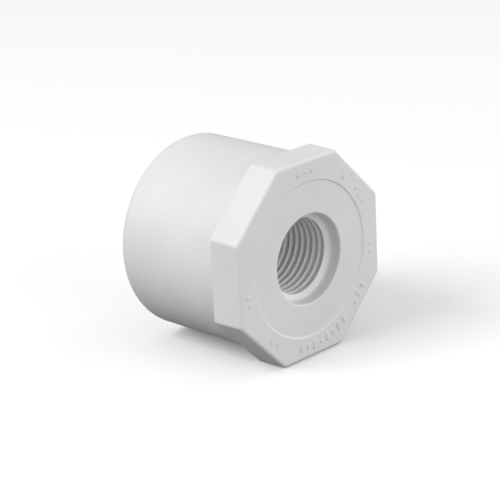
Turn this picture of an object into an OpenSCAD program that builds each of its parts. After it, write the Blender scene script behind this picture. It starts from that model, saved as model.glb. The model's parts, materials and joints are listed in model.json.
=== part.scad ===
// Reducing bushing: a plastic pipe fitting with a plain male end for
// solvent cement and a tapered female pipe thread in an octagonal head.
// It is one injection moulding. Its walls are drawn as separate closed solids
// that meet face to face at the creases of the moulding.
//
// Millimetres. The pipe axis is Y. The threaded face looks towards -Y, the
// plain end runs towards +Y, and the head lies on one of its flats (-Z).
// The origin is on the axis, in the plane of the shoulder behind the head.

/* [Plain end] */
// Outside diameter, for a nominal 1-1/2 inch socket
spigot_d = 48.26; // [46:0.01:49]
// Length from the shoulder to the free end
spigot_l = 31.5; // [24:0.1:36]
// Wall thickness of the tube
spigot_wall = 4.1; // [3:0.1:4.5]
// Chamfer that leads the tube into a socket
lead_chamfer = 1.0; // [0.4:0.1:1.5]

/* [Octagonal head] */
// Across the wrench flats
across_flats = 49.6; // [49:0.1:56]
// Thickness of the head
head_t = 8.4; // [7:0.1:11]
// Diameter of the shallow sunken disc
disc_d = 38.6; // [34:0.1:40]
// How far the disc is sunk
disc_sink = 0.3; // [0.3:0.1:0.9]
// Bevel around the front edge
edge_bevel = 0.8; // [0.3:0.1:1]
// Depth of the cored pocket inside the head, behind the disc
pocket_sink = 3.0; // [1:0.1:3.2]

/* [Female thread] */
// Bore over the thread's crests, for a nominal 1/2 inch taper thread
crest_d = 18.32; // [18:0.01:18.6]
// Diameter at the thread's roots, at its inner end
root_d = 20.26; // [20.2:0.01:20.4]
// Pitch, 14 threads to the inch
pitch = 1.8143; // [1.8:0.0001:1.83]
// Number of whole turns
turns = 7; // [5:1:7]
// Diameter of the counterbore that guides the pipe in
counterbore_d = 22.0; // [21.6:0.1:23]
// Depth of the counterbore, below the sunken disc
counterbore_l = 3.0; // [2:0.1:3.2]
// Outside diameter of the socket
socket_d = 28.4; // [27:0.1:29]
// Where the socket ends, behind the shoulder
socket_end = 18.0; // [15:0.1:20]

/* [Ribs] */
// Ribs between the socket and the tube
rib_count = 6; // [6:1:6]
// Thickness of a rib
rib_t = 2.4; // [1.8:0.1:2.8]
// Where the ribs end, behind the shoulder
rib_end = 14.0; // [6:0.5:14.5]

/* [Raised marks] */
// Height of the marks above the face
mark_h = 0.35; // [0.2:0.05:0.5]
// Length of a mark
mark_l = 2.2; // [1.6:0.1:2.6]
// Width of a mark
mark_w = 0.7; // [0.4:0.1:1]

/* [Hidden] */

white_pvc = [0.92, 0.92, 0.91];
flats = 8;
flat_turn = 180 / flats;
round_fn = 96;

spigot_r = spigot_d / 2;
bore_r = spigot_r - spigot_wall;
socket_r = socket_d / 2;
counterbore_r = counterbore_d / 2;
crest_r = crest_d / 2;
root_r = root_d / 2;
corner_r = across_flats / 2 / cos(flat_turn);

face_y = -head_t;
disc_y = face_y + disc_sink;
ledge_y = disc_y + counterbore_l;
pocket_y = -pocket_sink;

// The chamfer at the thread's mouth is as wide as the ledge it removes
mouth_l = 1.0;
thread_start = ledge_y + mouth_l / 2;

// The real thread tapers. Here it is parallel: the bore over its crests is
// the real one at the mouth, and its groove is the real one at the inner end,
// so its crests are flatter than the real ones. Its flanks are 60 degrees.
flank_angle = 30;
crest_land = 0.6;
groove_mouth = pitch - crest_land;
groove_root = groove_mouth - 2 * (root_r - crest_r) * tan(flank_angle);
// The cutter starts inside the bore, so that its inner wall cuts nothing
clear = 0.2;
cutter_mouth = groove_mouth + 2 * clear * tan(flank_angle);
steps_per_turn = 36;

// Marks stand on the ring between the disc and the head's edge, in groups.
// Each group is [its middle's turn from the top towards +X, its bars].
mark_r = (disc_d / 2 + across_flats / 2 - edge_bevel) / 2;
mark_step = 6;
mark_groups = [[-2, 3], [36, 1], [58, 3], [98, 2], [129, 3],
               [170, 8], [218, 2], [258, 2]];

// A cylinder of radius r along the pipe axis, from y0 to y1
module along(r, y0, y1) {
    translate([0, y0, 0])
        rotate([-90, 0, 0])
            cylinder(r = r, h = y1 - y0, $fn = round_fn);
}

// A solid of revolution about the pipe axis: points are [radius, y]
module turned(points) {
    rotate([-90, 0, 0])
        rotate_extrude($fn = round_fn)
            polygon(points);
}

// An octagonal prism on the pipe axis, lying on a flat
module octagon(r, y0, y1) {
    translate([0, y1, 0])
        rotate([90, 0, 0])
            rotate(flat_turn)
                cylinder(r = r, h = y1 - y0, $fn = flats);
}

// The wedge of material that bevels the head's front edge above one flat
module bevel_cut() {
    reach = across_flats / 2;
    translate([-across_flats / 2, 0, 0])
        rotate([90, 0, 90])
            linear_extrude(across_flats)
                polygon([[face_y - 1, reach - edge_bevel - 1],
                         [face_y - 1, reach + 1],
                         [face_y + edge_bevel + 1, reach + 1]]);
}

// Octagonal head with its sunken disc and the counterbore
module octagonal_head() {
    color(white_pvc)
        difference() {
            octagon(corner_r, face_y, 0);
            for (i = [0 : flats - 1])
                rotate([0, i * 360 / flats, 0])
                    bevel_cut();
            along(disc_d / 2, face_y - 1, disc_y);
            along(counterbore_r, disc_y - 1, ledge_y + 1);
            along(socket_r, ledge_y, 1);
            along(bore_r, pocket_y, 1);
        }
}

// Plain tube that is cemented into a pipe socket
module spigot_tube() {
    color(white_pvc)
        turned([[bore_r, 0],
                [spigot_r, 0],
                [spigot_r, spigot_l - lead_chamfer],
                [spigot_r - lead_chamfer / 2, spigot_l],
                [bore_r, spigot_l]]);
}

// Corner k of the groove cutter's section, as [radius, offset along Y]
function groove_corner(k) =
    k == 0 ? [crest_r - clear, -cutter_mouth / 2] :
    k == 1 ? [root_r, -groove_root / 2] :
    k == 2 ? [root_r, groove_root / 2] :
             [crest_r - clear, cutter_mouth / 2];

// Helical cutter with four corners to a section, right-handed
module thread_cutter() {
    count = turns * steps_per_turn;
    points = [for (i = [0 : count], k = [0 : 3])
        let (a = i * 360 / steps_per_turn,
             c = groove_corner(k),
             y = thread_start + i * pitch / steps_per_turn + c[1])
        [c[0] * cos(a), y, -c[0] * sin(a)]];
    sides = [for (i = [0 : count - 1], k = [0 : 3], half = [0, 1])
        let (a = 4 * i + k, b = 4 * i + (k + 1) % 4)
        half == 0 ? [a, b, b + 4] : [a, b + 4, a + 4]];
    last = 4 * count;
    ends = [[0, 3, 2], [0, 2, 1],
            [last, last + 1, last + 2], [last, last + 2, last + 3]];
    polyhedron(points, concat(sides, ends));
}

// Socket with the female thread, its chamfered mouth, and the waterway that
// runs on behind the thread in the same bore
module threaded_socket() {
    color(white_pvc)
        difference() {
            turned([[crest_r, ledge_y + mouth_l],
                    [counterbore_r, ledge_y],
                    [socket_r, ledge_y],
                    [socket_r, socket_end],
                    [crest_r, socket_end]]);
            thread_cutter();
        }
}

// Rib number n, counted round from the one that points straight down
module rib(n) {
    color(white_pvc)
        rotate([0, 30 + n * 360 / rib_count, 0])
            intersection() {
                translate([0, pocket_y, -rib_t / 2])
                    cube([bore_r, rib_end - pocket_y, rib_t]);
                turned([[socket_r, pocket_y],
                        [bore_r, pocket_y],
                        [bore_r, rib_end],
                        [socket_r, rib_end]]);
            }
}

module rib_1() { rib(1); }
module rib_2() { rib(2); }
module rib_3() { rib(3); }
module rib_4() { rib(4); }
module rib_5() { rib(5); }
module rib_6() { rib(6); }

// Plain raised bars, where such fittings carry their size
module raised_marks() {
    color(white_pvc)
        for (g = mark_groups, i = [0 : g[1] - 1])
            rotate([0, g[0] + (i - (g[1] - 1) / 2) * mark_step, 0])
                translate([-mark_w / 2, face_y - mark_h, mark_r - mark_l / 2])
                    cube([mark_w, mark_h, mark_l]);
}

octagonal_head();
spigot_tube();
threaded_socket();
rib_1();
rib_2();
rib_3();
rib_4();
rib_5();
rib_6();
raised_marks();
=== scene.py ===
# %% [markdown]
# # A reducing bushing in white PVC
# This fitting is one injection moulding: a plain tube that is cemented into a
# larger socket, an octagonal head for the wrench, and inside it a threaded
# socket for the smaller pipe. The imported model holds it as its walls, each a
# closed solid. Here each wall is modelled again with the soft edges, the draft
# and the true thread that a moulding has, in the same place and size.

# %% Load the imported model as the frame
import json
import math

import bmesh
import bpy
from mathutils import Matrix, Vector


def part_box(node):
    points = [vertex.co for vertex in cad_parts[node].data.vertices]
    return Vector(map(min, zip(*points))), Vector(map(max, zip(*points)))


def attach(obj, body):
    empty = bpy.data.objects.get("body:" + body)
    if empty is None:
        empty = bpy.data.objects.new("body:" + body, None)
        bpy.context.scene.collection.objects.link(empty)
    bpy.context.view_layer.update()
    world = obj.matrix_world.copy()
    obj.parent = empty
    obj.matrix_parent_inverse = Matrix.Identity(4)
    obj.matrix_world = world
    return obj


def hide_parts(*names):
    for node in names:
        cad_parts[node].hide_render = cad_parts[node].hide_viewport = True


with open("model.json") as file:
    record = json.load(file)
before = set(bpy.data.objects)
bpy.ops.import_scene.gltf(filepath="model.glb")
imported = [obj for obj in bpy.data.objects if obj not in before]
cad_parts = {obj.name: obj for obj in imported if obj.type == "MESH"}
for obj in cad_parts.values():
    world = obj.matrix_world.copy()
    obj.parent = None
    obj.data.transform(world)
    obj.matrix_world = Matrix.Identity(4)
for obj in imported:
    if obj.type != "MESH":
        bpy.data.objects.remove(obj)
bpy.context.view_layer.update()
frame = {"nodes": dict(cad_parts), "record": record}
record = frame["record"]
MM = 0.001
print("nodes:", sorted(frame["nodes"]))

# %% [markdown]
# The driving sizes come from the frame: the boxes of its nodes, and the radii
# that the record states for its mounts. Only the small shapes that no box or
# mount gives, such as the sunken disc, are written here as values.

# %% Sizes from the frame
mounts = {mount["name"]: mount for mount in record["mounts"]}
head_low, head_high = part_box("octagonal_head")
tube_low, tube_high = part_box("spigot_tube")
socket_low, socket_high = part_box("threaded_socket")
rib_low, rib_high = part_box("rib_6")
marks_low, marks_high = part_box("raised_marks")

FACE_Y = head_low.y
ACROSS_FLATS = head_high.x - head_low.x
TUBE_R = mounts["plain_end"]["dims"]["r_mm"] * MM
TUBE_END = tube_high.y
LEDGE_Y = socket_low.y
SOCKET_END = socket_high.y
SOCKET_R = socket_high.x
COUNTERBORE_R = mounts["counterbore"]["dims"]["r_mm"] * MM
CREST_R = mounts["thread_mouth"]["dims"]["r_mm"] * MM
RIB_START, RIB_END = rib_low.y, rib_high.y
MARK_H = FACE_Y - marks_low.y

DISC_R = 19.3 * MM
DISC_Y = FACE_Y + 0.3 * MM
BORE_FLOOR_R = COUNTERBORE_R - 0.35 * MM
TUBE_BORE_R = TUBE_R - 4.1 * MM
print(f"across flats {ACROSS_FLATS / MM:.1f} mm, tube {2 * TUBE_R / MM:.2f} mm")

# %% [markdown]
# ## Camera
# The fitting is seen from its front left and a little above, through a long
# lens, so that its lines hardly converge. The camera is set by the direction
# it looks back along, its distance and a small roll.

# %% Camera
VIEW_AZIMUTH = math.radians(-45.336)
VIEW_ELEVATION = math.radians(19.337)
VIEW_ROLL = math.radians(-2.854)
VIEW_DISTANCE = 0.4791
VIEW_TARGET = Vector((-5.565, 6.092, 0.924)) * MM
LENS_MM = 144


def direction(azimuth, elevation):
    """Unit vector from the object towards a viewer at these angles."""
    flat = math.cos(elevation)
    return Vector((math.sin(azimuth) * flat, -math.cos(azimuth) * flat,
                   math.sin(elevation)))


camera = bpy.data.objects.new("camera", bpy.data.cameras.new("camera"))
bpy.context.scene.collection.objects.link(camera)
bpy.context.scene.camera = camera
back = direction(VIEW_AZIMUTH, VIEW_ELEVATION)
camera.data.lens = LENS_MM
camera.data.clip_start = 0.01
camera.rotation_mode = "QUATERNION"
camera.rotation_quaternion = (
    back.to_track_quat("Z", "Y") @ Matrix.Rotation(VIEW_ROLL, 3, "Z").to_quaternion())
camera.location = VIEW_TARGET + back * VIEW_DISTANCE
print("camera at", [round(c, 4) for c in camera.location])

# %% [markdown]
# ## Floor and light
# White plastic shows its form only by its shading, so the light is soft. The
# strongest lamp stands high on the left and a little behind. A wide, weaker one
# in front of the face reaches into the bore and lights the flanks of the
# thread. The floor looks pale but sends little light back up, so the
# undersides go dark.

# %% Light paths for the stage
def seen_or_felt(tree, seen, felt):
    """A shader that the camera sees as one and that lights the rest as the other."""
    path = tree.nodes.new("ShaderNodeLightPath")
    mix = tree.nodes.new("ShaderNodeMixShader")
    tree.links.new(path.outputs["Is Camera Ray"], mix.inputs["Fac"])
    tree.links.new(felt, mix.inputs[1])
    tree.links.new(seen, mix.inputs[2])
    return mix.outputs[0]


# %% Floor
FLOOR_SEEN = 0.98
FLOOR_GLOW = 0.13
FLOOR_FELT = 0.25
FLOOR_HALF = 2.0


def matt(tree, level):
    """A plain matt shader of this grey."""
    node = tree.nodes.new("ShaderNodeBsdfDiffuse")
    node.inputs["Color"].default_value = (level, level, level, 1)
    return node.outputs[0]


def pale_floor():
    """Plain floor, white to the eye and dark grey to the light that it returns."""
    material = bpy.data.materials.new("pale_floor")
    material.use_nodes = True
    tree = material.node_tree
    tree.nodes.clear()
    glow = tree.nodes.new("ShaderNodeEmission")
    glow.inputs["Strength"].default_value = FLOOR_GLOW
    lifted = tree.nodes.new("ShaderNodeAddShader")
    tree.links.new(matt(tree, FLOOR_SEEN), lifted.inputs[0])
    tree.links.new(glow.outputs[0], lifted.inputs[1])
    out = tree.nodes.new("ShaderNodeOutputMaterial")
    surface = seen_or_felt(tree, lifted.outputs[0], matt(tree, FLOOR_FELT))
    tree.links.new(surface, out.inputs["Surface"])
    return material


bm = bmesh.new()
bmesh.ops.create_grid(bm, x_segments=1, y_segments=1, size=FLOOR_HALF)
bmesh.ops.translate(bm, verts=bm.verts, vec=(0, 0, head_low.z))
floor_mesh = bpy.data.meshes.new("floor")
bm.to_mesh(floor_mesh)
bm.free()
floor_mesh.materials.append(pale_floor())
floor = bpy.data.objects.new("floor", floor_mesh)
bpy.context.scene.collection.objects.link(floor)
print("floor at z", round(head_low.z, 4))

# %% Lamps and world
LAMP_HEIGHT = 0.7
LAMP_DISTANCE = 1.3
WORLD_LIGHT = 0.46
# Name, azimuth and elevation in degrees, width in metres, and power in watts.
# Azimuth 0 is in front of the threaded face, and -90 on its left.
LAMPS = [("left", -110, 40, 0.7, 9.8),
         ("front", 2, 14, 1.4, 6.8),
         ("right", 70, 12, 0.7, 4.3)]


def soft_lamp(name, azimuth, elevation, width, watts):
    """Area lamp in this direction, turned to face the fitting."""
    data = bpy.data.lights.new(name, "AREA")
    data.shape = "RECTANGLE"
    data.size = width
    data.size_y = LAMP_HEIGHT
    data.energy = watts
    lamp = bpy.data.objects.new(name, data)
    towards = direction(math.radians(azimuth), math.radians(elevation))
    lamp.location = towards * LAMP_DISTANCE
    lamp.rotation_mode = "QUATERNION"
    lamp.rotation_quaternion = towards.to_track_quat("Z", "Y")
    bpy.context.scene.collection.objects.link(lamp)


for lamp_values in LAMPS:
    soft_lamp(*lamp_values)

world = bpy.data.worlds.new("studio")
world.use_nodes = True
bpy.context.scene.world = world
sky = world.node_tree
sky.nodes.clear()


def white_sky(strength):
    """An even white background of this strength."""
    node = sky.nodes.new("ShaderNodeBackground")
    node.inputs["Color"].default_value = (1, 1, 1, 1)
    node.inputs["Strength"].default_value = strength
    return node.outputs[0]


sky_out = sky.nodes.new("ShaderNodeOutputWorld")
sky_light = seen_or_felt(sky, white_sky(1.0), white_sky(WORLD_LIGHT))
sky.links.new(sky_light, sky_out.inputs["Surface"])
bpy.context.scene.view_settings.view_transform = "Standard"

# %% [markdown]
# ## The plastic
# Moulded white PVC is nearly opaque, with a satin skin. What tells it from a
# flat white is small: a slow drift in shade where the melt flowed, a skin that
# is glossier in some places than in others, a fine grain from the mould's
# steel, and edges that handling has rubbed smoother. Each is a noise or a mask
# on Object coordinates, so nothing slides when the piece is seen from
# elsewhere.

# %% Small node helpers
class Nodes:
    """Adds and links nodes in one material's tree."""

    def __init__(self, material):
        self.tree = material.node_tree

    def add(self, kind, links=None, **values):
        """A node with its properties set, and its named inputs set or linked."""
        node = self.tree.nodes.new(kind)
        for name, value in values.items():
            setattr(node, name, value)
        for name, value in (links or {}).items():
            if isinstance(value, bpy.types.NodeSocket):
                self.tree.links.new(value, node.inputs[name])
            else:
                node.inputs[name].default_value = value
        return node

    def noise(self, place, scale, detail=3.0, roughness=0.5):
        """Noise with features about 1 / scale metres across."""
        node = self.add("ShaderNodeTexNoise", {
            "Vector": place, "Scale": scale, "Detail": detail, "Roughness": roughness})
        return node.outputs["Fac"]

    def spread(self, value, low, high, to_low, to_high):
        """Maps value from low..high to to_low..to_high, and holds it there."""
        node = self.add("ShaderNodeMapRange", {
            "Value": value, "From Min": low, "From Max": high,
            "To Min": to_low, "To Max": to_high})
        return node.outputs["Result"]

    def bump(self, height, distance, strength=1.0, normal=None):
        """Bump of a height map whose full range is distance metres."""
        links = {"Height": height, "Distance": distance, "Strength": strength}
        if normal is not None:
            links["Normal"] = normal
        return self.add("ShaderNodeBump", links).outputs["Normal"]

    def edges(self, radius):
        """1 on convex and concave edges, 0 on flats: how far a bevel turns the normal."""
        bevel = self.add("ShaderNodeBevel", {"Radius": radius}, samples=4)
        plain = self.add("ShaderNodeNewGeometry")
        dot = self.add("ShaderNodeVectorMath", {0: bevel.outputs["Normal"],
                                                1: plain.outputs["Normal"]},
                       operation="DOT_PRODUCT")
        return self.spread(dot.outputs["Value"], 1.0, 0.9, 0.0, 1.0)

    def mix(self, share, first, second):
        """Mixes two colours or colour sockets."""
        node = self.add("ShaderNodeMix", data_type="RGBA")
        for socket, value in ((0, share), (6, first), (7, second)):
            if isinstance(value, bpy.types.NodeSocket):
                self.tree.links.new(value, node.inputs[socket])
            else:
                node.inputs[socket].default_value = value
        return node.outputs[2]


# %% White PVC
def white_pvc():
    """Satin moulded PVC: its shade first, then its gloss, then its relief."""
    material = bpy.data.materials.new("white_pvc")
    material.use_nodes = True
    nodes = Nodes(material)
    skin = material.node_tree.nodes["Principled BSDF"]
    link = material.node_tree.links.new
    place = nodes.add("ShaderNodeTexCoord").outputs["Object"]

    def white(level):
        return (level, level, level * 0.993, 1)

    flow = nodes.spread(nodes.noise(place, 55, 4), 0.3, 0.7, 0.0, 1.0)
    speck = nodes.spread(nodes.noise(place, 900, 2), 0.62, 0.8, 0.0, 0.35)
    # A mask of every edge, convex and concave alike. It makes those edges a little lighter in
    # colour and a little smoother.
    edge_mask = nodes.edges(0.35 * MM)
    colour = nodes.mix(flow, white(0.80), white(0.85))
    colour = nodes.mix(speck, colour, white(0.74))
    # Colour lifted a little towards a lighter white along every edge, convex and concave
    # alike.
    edge_lightening = nodes.add("ShaderNodeMath", {0: edge_mask, 1: 0.35}, operation="MULTIPLY")
    colour = nodes.mix(edge_lightening.outputs[0], colour, white(0.88))
    link(colour, skin.inputs["Base Color"])

    drift = nodes.spread(nodes.noise(place, 130, 3), 0.3, 0.7, 0.40, 0.52)
    smoother = nodes.add("ShaderNodeMath", {0: edge_mask, 1: 0.10}, operation="MULTIPLY")
    rough = nodes.add("ShaderNodeMath", {0: drift, 1: smoother.outputs[0]},
                      operation="SUBTRACT")
    link(rough.outputs[0], skin.inputs["Roughness"])

    sink = nodes.bump(nodes.noise(place, 70, 2), 0.10 * MM, 0.5)
    steel = nodes.bump(nodes.noise(place, 2600, 3, 0.6), 0.012 * MM, 0.6, sink)
    link(steel, skin.inputs["Normal"])

    skin.inputs["IOR"].default_value = 1.53
    skin.inputs["Subsurface Weight"].default_value = 0.12
    skin.inputs["Subsurface Radius"].default_value = (1.0, 0.95, 0.9)
    skin.inputs["Subsurface Scale"].default_value = 0.9 * MM
    return material


pvc = white_pvc()
print("material:", pvc.name, len(pvc.node_tree.nodes), "nodes")

# %% [markdown]
# ## Tools for turned and beveled walls
# Most walls are rings about the pipe axis, which is Y. A short outline is spun
# round it, and the sharp rings are then beveled, each by its own amount, as a
# toolmaker radiuses the mould. Finding a ring by its radius and place keeps
# that readable.

# %% Mesh tools
ROUND_STEPS = 128
CREASE = math.radians(38)
# Points closer than this are in the same place
TOUCH = 0.001 * MM


def turned(points, closed=True):
    """A bmesh of an outline of (radius, y) points, spun about the pipe axis."""
    bm = bmesh.new()
    corners = [bm.verts.new((radius, y, 0)) for radius, y in points]
    pairs = list(zip(corners, corners[1:]))
    if closed:
        pairs.append((corners[-1], corners[0]))
    sides = [bm.edges.new(pair) for pair in pairs]
    bmesh.ops.spin(bm, geom=corners + sides, cent=(0, 0, 0), axis=(0, 1, 0),
                   dvec=(0, 0, 0), angle=2 * math.pi, steps=ROUND_STEPS,
                   use_merge=True, use_duplicate=False)
    return bm


def ring(bm, radius, y, slack=0.02 * MM):
    """The edges of the ring at this radius and this place along the axis."""
    def on_it(vert):
        return (abs(math.hypot(vert.co.x, vert.co.z) - radius) < slack
                and abs(vert.co.y - y) < slack)
    return [edge for edge in bm.edges if all(on_it(vert) for vert in edge.verts)]


def soften(bm, edges, width, segments=4):
    """Rounds edges with a bevel of this width."""
    bmesh.ops.bevel(bm, geom=edges, offset=width, offset_type="OFFSET",
                    segments=segments, profile=0.5, affect="EDGES", material=-1,
                    clamp_overlap=True)


def finish_piece(bm, name, node):
    """Makes the bmesh a piece that rides on the fitting and stands for a CAD node."""
    bmesh.ops.remove_doubles(bm, verts=bm.verts, dist=TOUCH)
    bmesh.ops.recalc_face_normals(bm, faces=bm.faces)
    open_edges = sum(1 for edge in bm.edges if not edge.is_manifold)
    mesh = bpy.data.meshes.new(name)
    bm.to_mesh(mesh)
    bm.free()
    mesh.shade_smooth()
    mesh.set_sharp_from_angle(angle=CREASE)
    mesh.materials.append(pvc)
    piece = bpy.data.objects.new(name, mesh)
    bpy.context.scene.collection.objects.link(piece)
    weighted = piece.modifiers.new("flat_faces", "WEIGHTED_NORMAL")
    weighted.keep_sharp = True
    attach(piece, "root")
    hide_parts(node)
    print(f"{name}: {len(mesh.polygons)} faces, {open_edges} open edges")


# %% [markdown]
# ## Octagonal head
# The head is an octagon outside and all rings inside. Its outline starts as an
# eight-sided circle whose corners are rounded by a vertex bevel and whose
# flats are cut into short edges, so that it has as many points as a ring. The
# rings are one spun outline. Bridging the outline to the first and the last
# ring closes the front face and the shoulder with clean quads.

# %% Octagonal outline
CORNER_ROUND = 0.55 * MM
CORNER_SEGMENTS = 5
FLAT_CUTS = ROUND_STEPS // 8 - CORNER_SEGMENTS - 1


def octagon_outline(bm, across, y):
    """A closed loop of edges: an octagon on a flat, with rounded corners."""
    before = set(bm.verts)
    made = bmesh.ops.create_circle(bm, cap_ends=True, segments=8,
                                   radius=across / 2 / math.cos(math.pi / 8))
    bmesh.ops.rotate(bm, verts=made["verts"], cent=(0, 0, 0),
                     matrix=Matrix.Rotation(math.pi / 8, 3, "Z"))
    bmesh.ops.rotate(bm, verts=made["verts"], cent=(0, 0, 0),
                     matrix=Matrix.Rotation(math.pi / 2, 3, "X"))
    bmesh.ops.bevel(bm, geom=made["verts"], offset=CORNER_ROUND, segments=CORNER_SEGMENTS,
                    profile=0.5, affect="VERTICES", material=-1)
    new = [vert for vert in bm.verts if vert not in before]
    face = new[0].link_faces[0]
    flats = [edge for edge in face.edges if edge.calc_length() > 5 * MM]
    bmesh.ops.subdivide_edges(bm, edges=flats, cuts=FLAT_CUTS)
    loop = list(face.edges)
    bmesh.ops.translate(bm, verts=list(face.verts), vec=(0, y, 0))
    bmesh.ops.delete(bm, geom=[face], context="FACES_ONLY")
    return loop


# %% Head
# Size of the face over the size of the shoulder
DRAFT = 0.990
FRONT_EDGE = 0.75 * MM
REAR_EDGE = 0.25 * MM
DISC_EDGE = 0.15 * MM
BORE_EDGE = 0.4 * MM
# The bore ends in a small fillet: how far it comes in, and how far above the floor
BORE_FOOT = [(0.05 * MM, 0.6 * MM), (0.12 * MM, 0.3 * MM)]


def octagonal_head():
    """The wrench head, from its face through the bore to the shoulder."""
    disc_slope = 0.2 * MM
    bore_rim = COUNTERBORE_R + 0.1 * MM
    bm = turned([(DISC_R, FACE_Y),
                 (DISC_R - disc_slope, DISC_Y),
                 (bore_rim, DISC_Y),
                 *[(COUNTERBORE_R - inwards, LEDGE_Y - above) for inwards, above in BORE_FOOT],
                 (BORE_FLOOR_R, LEDGE_Y),
                 (SOCKET_R, LEDGE_Y),
                 (SOCKET_R, RIB_START),
                 (TUBE_BORE_R, RIB_START),
                 (TUBE_BORE_R, 0),
                 (TUBE_R, 0)], closed=False)
    front = octagon_outline(bm, ACROSS_FLATS * DRAFT, FACE_Y)
    sides = bmesh.ops.extrude_edge_only(bm, edges=front)["geom"]
    behind = [part for part in sides if isinstance(part, bmesh.types.BMVert)]
    grow = 1 / DRAFT
    bmesh.ops.scale(bm, vec=(grow, 1, grow), verts=behind)
    bmesh.ops.translate(bm, verts=behind, vec=(0, -FACE_Y, 0))
    rear = [edge for edge in bm.edges if all(vert in behind for vert in edge.verts)]
    bmesh.ops.bridge_loops(bm, edges=front + ring(bm, DISC_R, FACE_Y))
    bmesh.ops.bridge_loops(bm, edges=rear + ring(bm, TUBE_R, 0))
    soften(bm, front, FRONT_EDGE, 5)
    soften(bm, rear, REAR_EDGE, 3)
    soften(bm, ring(bm, DISC_R, FACE_Y), DISC_EDGE, 3)
    soften(bm, ring(bm, DISC_R - disc_slope, DISC_Y), DISC_EDGE, 3)
    soften(bm, ring(bm, bore_rim, DISC_Y), BORE_EDGE, 4)
    finish_piece(bm, "wrench_head", "octagonal_head")


octagonal_head()

# %% [markdown]
# ## Plain tube
# One closed outline, spun. The free end has the lead chamfer that starts it in
# a socket, and all its rims are a little round, as a mould's parting edge
# leaves them.

# %% Tube
LEAD_CHAMFER = 1.0 * MM
CHAMFER_EDGE = 0.5 * MM
END_EDGE = 0.3 * MM


def plain_tube():
    """The tube that is cemented into a socket."""
    bm = turned([(TUBE_BORE_R, 0),
                 (TUBE_R, 0),
                 (TUBE_R, TUBE_END - LEAD_CHAMFER),
                 (TUBE_R - LEAD_CHAMFER / 2, TUBE_END),
                 (TUBE_BORE_R + END_EDGE, TUBE_END),
                 (TUBE_BORE_R, TUBE_END - END_EDGE)])
    soften(bm, ring(bm, TUBE_R, TUBE_END - LEAD_CHAMFER), CHAMFER_EDGE, 3)
    soften(bm, ring(bm, TUBE_R - LEAD_CHAMFER / 2, TUBE_END), END_EDGE, 3)
    finish_piece(bm, "plain_tube", "spigot_tube")


plain_tube()

# %% [markdown]
# ## Threaded socket
# A pipe thread is one groove that winds inwards, so its wall is a short
# profile, one pitch long, spun with a step along the axis: the spin operator's
# dvec does just that. One turn is spun and then copied a pitch further each
# time, which is quicker than a long spin, and neighbouring turns share their
# edges. The wall is made too long at each end and cut by two planes. Then each
# point is moved in or out: all of them for the thread's taper, and those near
# the cuts until the groove has run out, so that both cuts are plain circles.

# %% Thread
PITCH = 25.4 / 14 * MM
THREAD_HEIGHT = 0.68 * PITCH
THREAD_TAPER = 1 / 32
MOUTH_L = 0.8 * MM
THREAD_ENTRY_R = CREST_R + 0.26 * MM
# These five are in turns or pitches: the wall's length, what is spun too much at
# each end, where the first crest starts, and how fast the groove runs out
THREAD_TURNS = 8
SPARE_TURNS = 1.5
THREAD_PHASE = 0.5
MOUTH_FADE = 0.12
THREAD_TAIL = 0.2
PROFILE_POINTS = 24
THREAD_STEPS = 144


def groove_depth(share):
    """Depth below the crest, for a share of the pitch from a crest's middle."""
    crest_half = 0.07
    root_half = 0.04
    away = min(share, 1 - share)
    rise = (away - crest_half) / (0.5 - crest_half - root_half)
    rise = min(max(rise, 0.0), 1.0)
    bend = 0.07
    return THREAD_HEIGHT * (rise - bend * math.sin(2 * math.pi * rise))


def eased(value):
    """0 to 1 with a soft start and end, held outside that range."""
    value = min(max(value, 0.0), 1.0)
    return value * value * (3 - 2 * value)


def shape_thread_point(vert, start, end):
    """Tapers the thread, and runs its groove out at both ends."""
    radius = math.hypot(vert.co.x, vert.co.z)
    along = min(max(vert.co.y, start), end) - start
    depth = radius - CREST_R
    depth *= eased((vert.co.y - start) / (MOUTH_FADE * PITCH))
    depth *= eased((end - vert.co.y) / PITCH)
    scale = (THREAD_ENTRY_R - along * THREAD_TAPER + depth) / radius
    vert.co.x *= scale
    vert.co.z *= scale


def thread_wall():
    """The bmesh of the thread's wall, open at both ends."""
    start = LEDGE_Y + MOUTH_L
    end = start + THREAD_TURNS * PITCH
    turns = THREAD_TURNS + round(2 * SPARE_TURNS)
    first_y = start - (SPARE_TURNS + THREAD_PHASE) * PITCH
    bm = bmesh.new()
    profile = []
    for index in range(PROFILE_POINTS + 1):
        share = index / PROFILE_POINTS
        point = (CREST_R + groove_depth(share), first_y + share * PITCH, 0)
        profile.append(bm.verts.new(point))
    sides = [bm.edges.new(pair) for pair in zip(profile, profile[1:])]
    step = PITCH / THREAD_STEPS
    bmesh.ops.spin(bm, geom=profile + sides, cent=(0, 0, 0), axis=(0, 1, 0),
                   dvec=(0, step, 0), angle=2 * math.pi, steps=THREAD_STEPS,
                   use_merge=False, use_duplicate=False)
    one_turn = list(bm.verts) + list(bm.edges) + list(bm.faces)
    for number in range(1, turns):
        copy = bmesh.ops.duplicate(bm, geom=one_turn)["geom"]
        verts = [part for part in copy if isinstance(part, bmesh.types.BMVert)]
        bmesh.ops.translate(bm, verts=verts, vec=(0, number * PITCH, 0))
    bmesh.ops.remove_doubles(bm, verts=bm.verts, dist=0.002 * MM)
    stop = end + THREAD_TAIL * PITCH
    for place, normal, trim in ((start, -1, True), (stop, 1, True),
                                (start + MOUTH_FADE * PITCH, 1, False)):
        geom = list(bm.verts) + list(bm.edges) + list(bm.faces)
        bmesh.ops.bisect_plane(bm, geom=geom, plane_co=(0, place, 0),
                               plane_no=(0, normal, 0), clear_outer=trim, dist=1e-9)
    for vert in bm.verts:
        shape_thread_point(vert, start, end)
    return bm, start, stop


def rim(bm, y):
    """The open edges that lie in the plane at y."""
    return [edge for edge in bm.edges if edge.is_boundary
            and all(abs(vert.co.y - y) < TOUCH for vert in edge.verts)]


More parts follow.
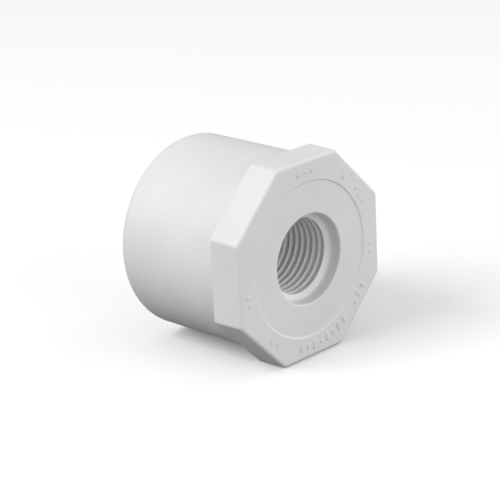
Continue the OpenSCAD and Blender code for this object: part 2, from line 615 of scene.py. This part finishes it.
def draw_out(bm, edges, radius=None, y=None):
    """Extrudes a rim to a new radius or a new place, and returns the new rim."""
    made = bmesh.ops.extrude_edge_only(bm, edges=edges)["geom"]
    verts = [part for part in made if isinstance(part, bmesh.types.BMVert)]
    for vert in verts:
        if radius is not None:
            scale = radius / math.hypot(vert.co.x, vert.co.z)
            vert.co.x *= scale
            vert.co.z *= scale
        if y is not None:
            vert.co.y = y
    return [part for part in made if isinstance(part, bmesh.types.BMEdge)
            and all(vert in verts for vert in part.verts)]


# %% Socket
SOCKET_EDGE = 0.4 * MM


def threaded_socket():
    """The threaded wall, wrapped in the socket's outer wall and its end."""
    bm, thread_start, thread_end = thread_wall()
    mouth = rim(bm, thread_start)
    inner = rim(bm, thread_end)
    outer = draw_out(bm, mouth, radius=BORE_FLOOR_R, y=LEDGE_Y)
    outer = draw_out(bm, outer, radius=SOCKET_R)
    outer = draw_out(bm, outer, y=SOCKET_END)
    inner = draw_out(bm, inner, y=SOCKET_END)
    bmesh.ops.bridge_loops(bm, edges=outer + inner)
    soften(bm, ring(bm, SOCKET_R, SOCKET_END), SOCKET_EDGE, 3)
    finish_piece(bm, "threaded_hub", "threaded_socket")


threaded_socket()

# %% [markdown]
# ## Ribs
# Each rib fills the gap between two round walls, so it is a slice of a ring:
# a rectangle spun through a small angle, then cut by two planes. The planes
# lean in a little towards the free end. That is the draft that lets the core
# of the mould pull out.

# %% Ribs
RIB_T = 2.4 * MM
RIB_DRAFT = math.radians(1.0)
RIB_HALF_ANGLE = math.radians(10)
RIB_STEPS = 12
RIB_EDGE = 0.35 * MM
# How far a rib reaches into the two walls that it joins
RIB_OVERLAP = 0.03 * MM


def rib(number):
    """Rib number 1 to 6, as a slice of the ring between socket and tube."""
    turn = math.radians(30 + 60 * number)
    bm = bmesh.new()
    inner, outer = SOCKET_R - RIB_OVERLAP, TUBE_BORE_R + RIB_OVERLAP
    points = [(inner, RIB_START), (outer, RIB_START), (outer, RIB_END), (inner, RIB_END)]
    corners = [bm.verts.new((radius, y, 0)) for radius, y in points]
    face = bm.faces.new(corners)
    spin_matrix = Matrix.Rotation(-RIB_HALF_ANGLE, 3, "Y")
    bmesh.ops.rotate(bm, verts=corners, cent=(0, 0, 0), matrix=spin_matrix)
    bmesh.ops.spin(bm, geom=[face] + list(face.edges) + corners, cent=(0, 0, 0),
                   axis=(0, 1, 0), dvec=(0, 0, 0), angle=2 * RIB_HALF_ANGLE, steps=RIB_STEPS,
                   use_merge=False, use_duplicate=False)
    for side in (-1, 1):
        geom = list(bm.verts) + list(bm.edges) + list(bm.faces)
        normal = Matrix.Rotation(side * RIB_DRAFT, 3, "X") @ Vector((0, 0, side))
        cut = bmesh.ops.bisect_plane(
            bm, geom=geom, plane_co=(0, RIB_START, side * RIB_T / 2),
            plane_no=normal, clear_outer=True, dist=1e-9)
        lid = [part for part in cut["geom_cut"] if isinstance(part, bmesh.types.BMEdge)]
        bmesh.ops.holes_fill(bm, edges=lid, sides=0)
    free = [edge for edge in bm.edges
            if all(abs(vert.co.y - RIB_END) < TOUCH for vert in edge.verts)
            and edge.calc_length() > 3 * MM]
    soften(bm, free, RIB_EDGE, 3)
    bmesh.ops.rotate(bm, verts=bm.verts, cent=(0, 0, 0),
                     matrix=Matrix.Rotation(turn, 3, "Y"))
    finish_piece(bm, f"core_rib_{number}", f"rib_{number}")


for rib_number in range(1, 7):
    rib(rib_number)

# %% [markdown]
# ## Raised marks
# Such fittings carry moulded markings round the face. Plain bars and dots
# stand in for them, in groups round a ring, low and soft-edged.

# %% Marks
MARK_R = 21.75 * MM
MARK_STEP = math.radians(6)
MARK_RELIEF = 0.6 * MARK_H
MARK_BED = 0.05 * MM
# How round a mark is: its corners as a share of its width, and its upper edge
# as a share of its height
MARK_CORNER = 0.45
MARK_TOP = 0.7
# Turn of a group's middle from the top towards +X, and its marks. Each mark is
# its length and width in mm: a stroke, or a dot where they are the same.
MARK_GROUPS = [(-2, [(1.0, 0.8), (0.7, 0.7), (1.2, 0.9)]),
               (36, [(2.0, 0.9)]),
               (58, [(1.4, 0.8), (2.2, 1.1), (1.6, 0.8)]),
               (98, [(1.2, 0.8), (0.8, 0.8)]),
               (129, [(2.0, 0.9), (2.4, 1.2), (1.0, 1.0)]),
               (170, [(2.0, 1.0), (2.3, 1.2), (1.4, 0.9), (2.2, 1.0),
                      (0.9, 0.9), (2.2, 1.1), (1.6, 0.9), (2.0, 1.1)]),
               (218, [(1.5, 0.9), (1.5, 0.8)]),
               (258, [(0.8, 0.8), (1.3, 0.8)])]


def mark(bm, turn, length, width):
    """One soft stroke on the face, lying along the radius."""
    height = MARK_RELIEF + MARK_BED
    made = bmesh.ops.create_cube(bm, size=1)["verts"]
    bmesh.ops.scale(bm, verts=made, vec=(width, height, length))
    bmesh.ops.translate(bm, verts=made, vec=(0, FACE_Y + MARK_BED - height / 2, MARK_R))
    bmesh.ops.rotate(bm, verts=made, cent=(0, 0, 0), matrix=Matrix.Rotation(turn, 3, "Y"))
    upright = []
    for vert in made:
        for edge in vert.link_edges:
            rise = abs(edge.verts[0].co.y - edge.verts[1].co.y)
            if rise > height / 2 and edge not in upright:
                upright.append(edge)
    soften(bm, upright, MARK_CORNER * width, 4)
    top_y = FACE_Y - MARK_RELIEF
    top = [edge for edge in bm.edges
           if all(abs(vert.co.y - top_y) < TOUCH for vert in edge.verts)
           and edge.calc_face_angle(0) > 1]
    soften(bm, top, MARK_TOP * MARK_RELIEF, 3)


def raised_marks():
    """All groups of marks, as one piece of separate small solids."""
    bm = bmesh.new()
    for middle, sizes in MARK_GROUPS:
        for index, (length, width) in enumerate(sizes):
            place = index - (len(sizes) - 1) / 2
            turn = math.radians(middle) + place * MARK_STEP
            mark(bm, turn, length * MM, width * MM)
    finish_piece(bm, "relief_marks", "raised_marks")


raised_marks()
